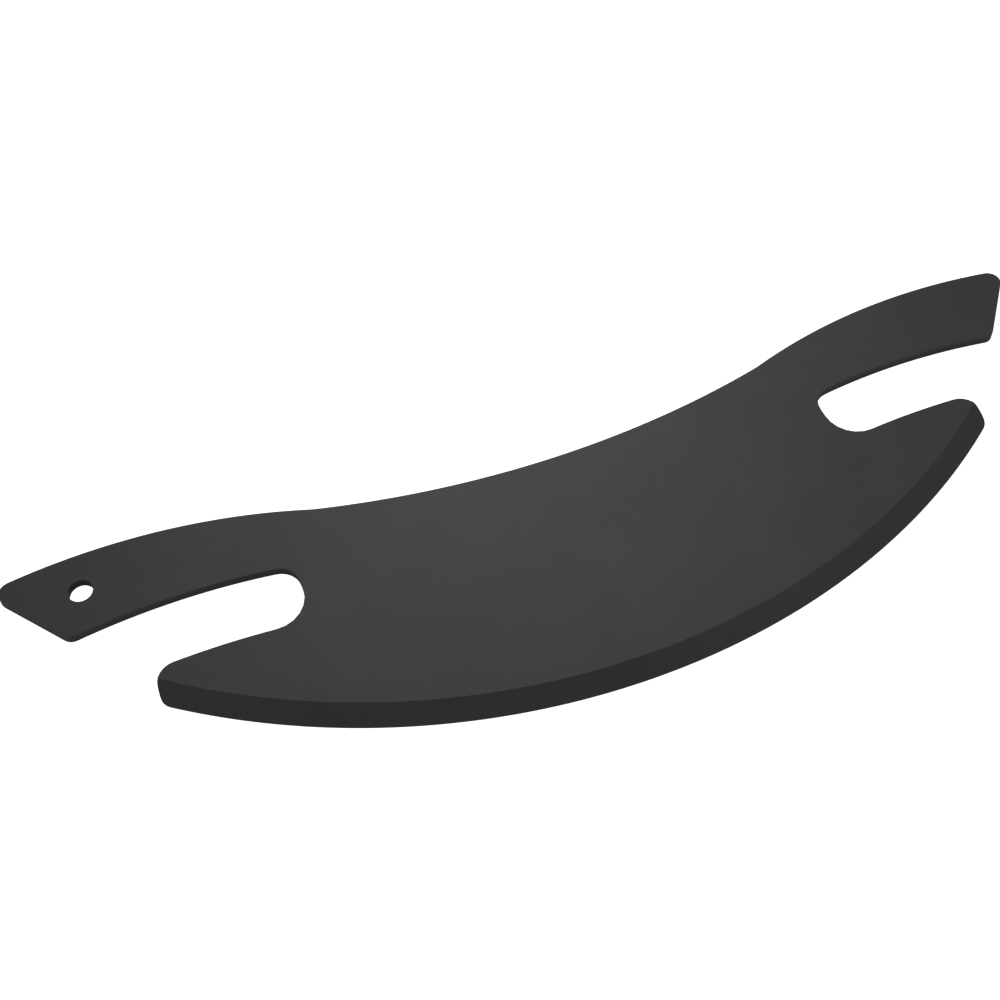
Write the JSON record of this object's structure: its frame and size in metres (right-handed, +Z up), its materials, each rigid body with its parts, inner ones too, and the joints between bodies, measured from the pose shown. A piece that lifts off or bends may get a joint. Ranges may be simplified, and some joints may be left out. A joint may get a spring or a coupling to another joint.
{
  "type": "rocking pizza knife",
  "caption": "Long one-piece rocker blade with a curved bevelled edge, a grip over a finger slot at each end and a hanging hole.",
  "frame": {"origin": "centre of the bounding box on the flat underside", "axes": "+X along the length, away from the end with the hanging hole; +Y from the cutting edge towards the handles; +Z up through the thickness, out of the bevelled face"},
  "size_m": [0.45, 0.1305, 0.004],
  "materials": {
    "composite": "matt, near-black pressed paper and resin sheet"
  },
  "bodies": {
    "root": {"knife_body": "composite"}
  },
  "joints": []
}
